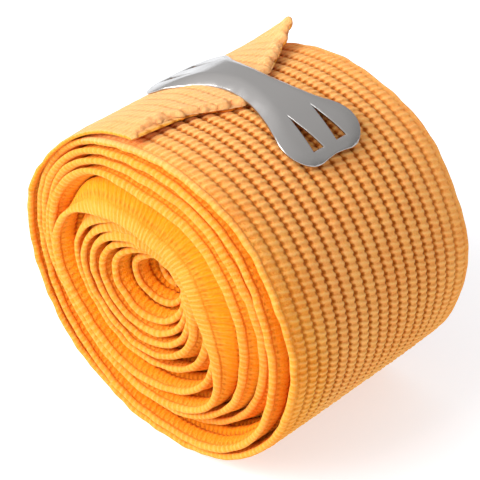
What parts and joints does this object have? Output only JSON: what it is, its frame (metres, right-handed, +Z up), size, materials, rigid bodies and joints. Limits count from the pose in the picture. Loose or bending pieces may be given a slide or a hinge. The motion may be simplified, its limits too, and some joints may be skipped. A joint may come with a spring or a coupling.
{
  "type": "crepe bandage roll",
  "caption": "Elastic crepe bandage wound in a loose spiral, its free end held on top by a waisted metal clip with slots and teeth.",
  "frame": {"origin": "on the surface below the middle of the bounding box", "axes": "+Z up; +Y along the roll's axis, away from the end face that shows the spiral; +X to the right as that face is seen, the way the free end points"},
  "size_m": [0.0766, 0.0596, 0.0739],
  "materials": {
    "crepe": "ribbed elastic weave, matt",
    "steel": "polished, with bright rounded edges"
  },
  "bodies": {
    "root": {"bandage_roll": "crepe", "free_end": "crepe", "clip": "steel"}
  },
  "joints": []
}
